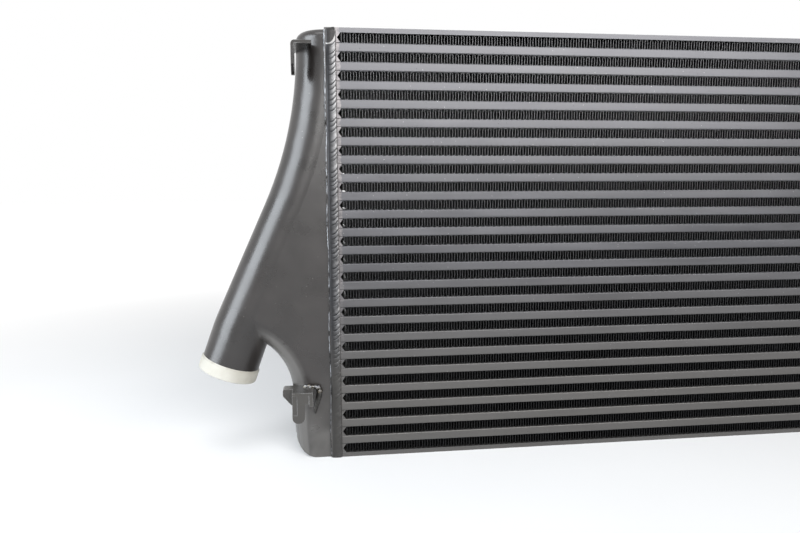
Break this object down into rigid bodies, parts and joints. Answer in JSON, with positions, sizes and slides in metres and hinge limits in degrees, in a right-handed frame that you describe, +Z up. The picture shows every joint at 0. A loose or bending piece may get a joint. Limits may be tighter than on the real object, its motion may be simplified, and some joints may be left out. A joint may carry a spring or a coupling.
{
  "type": "intercooler",
  "caption": "Bar-and-plate intercooler with welded end tanks, downward hose outlets and hook brackets.",
  "frame": {"origin": "centre of the underside of the core", "axes": "+X along the core, -Y out of the front face, +Z up"},
  "size_m": [0.8772, 0.0822, 0.4211],
  "materials": {
    "black_bar": "satin black paint on brazed aluminium bars",
    "black_fin": "matt black paint on folded aluminium fins",
    "black_tank": "satin black powder coat on cast aluminium",
    "weld": "glossy black paint over a rippled weld bead",
    "bare_ring": "bare machined aluminium",
    "inner_aluminium": "bare aluminium sheet inside the channels",
    "black_bracket": "satin black paint on welded plate"
  },
  "bodies": {
    "root": {"air_fin_01": "black_fin", "air_fin_02": "black_fin", "air_fin_03": "black_fin", "air_fin_04": "black_fin", "air_fin_05": "black_fin", "air_fin_06": "black_fin", "air_fin_07": "black_fin", "air_fin_08": "black_fin", "air_fin_09": "black_fin", "air_fin_10": "black_fin", "air_fin_11": "black_fin", "air_fin_12": "black_fin", "air_fin_13": "black_fin", "air_fin_14": "black_fin", "air_fin_15": "black_fin", "air_fin_16": "black_fin", "air_fin_17": "black_fin", "air_fin_18": "black_fin", "air_fin_19": "black_fin", "air_fin_20": "black_fin", "air_fin_21": "black_fin", "air_fin_22": "black_fin", "air_fin_23": "black_fin", "air_fin_24": "black_fin", "bottom_cover_plate": "black_bar", "charge_turbulators": "inner_aluminium", "front_charge_bars": "black_bar", "left_end_bars": "black_bar", "left_hose_ring": "bare_ring", "left_lower_bracket": "black_bracket", "left_tank": "black_tank", "left_upper_bracket": "black_bracket", "left_weld_bead": "weld", "parting_plates": "black_bar", "rear_charge_bars": "black_bar", "right_end_bars": "black_bar", "right_hose_ring": "bare_ring", "right_lower_bracket": "black_bracket", "right_tank": "black_tank", "right_upper_bracket": "black_bracket", "right_weld_bead": "weld", "top_cover_plate": "black_bar"}
  },
  "joints": []
}
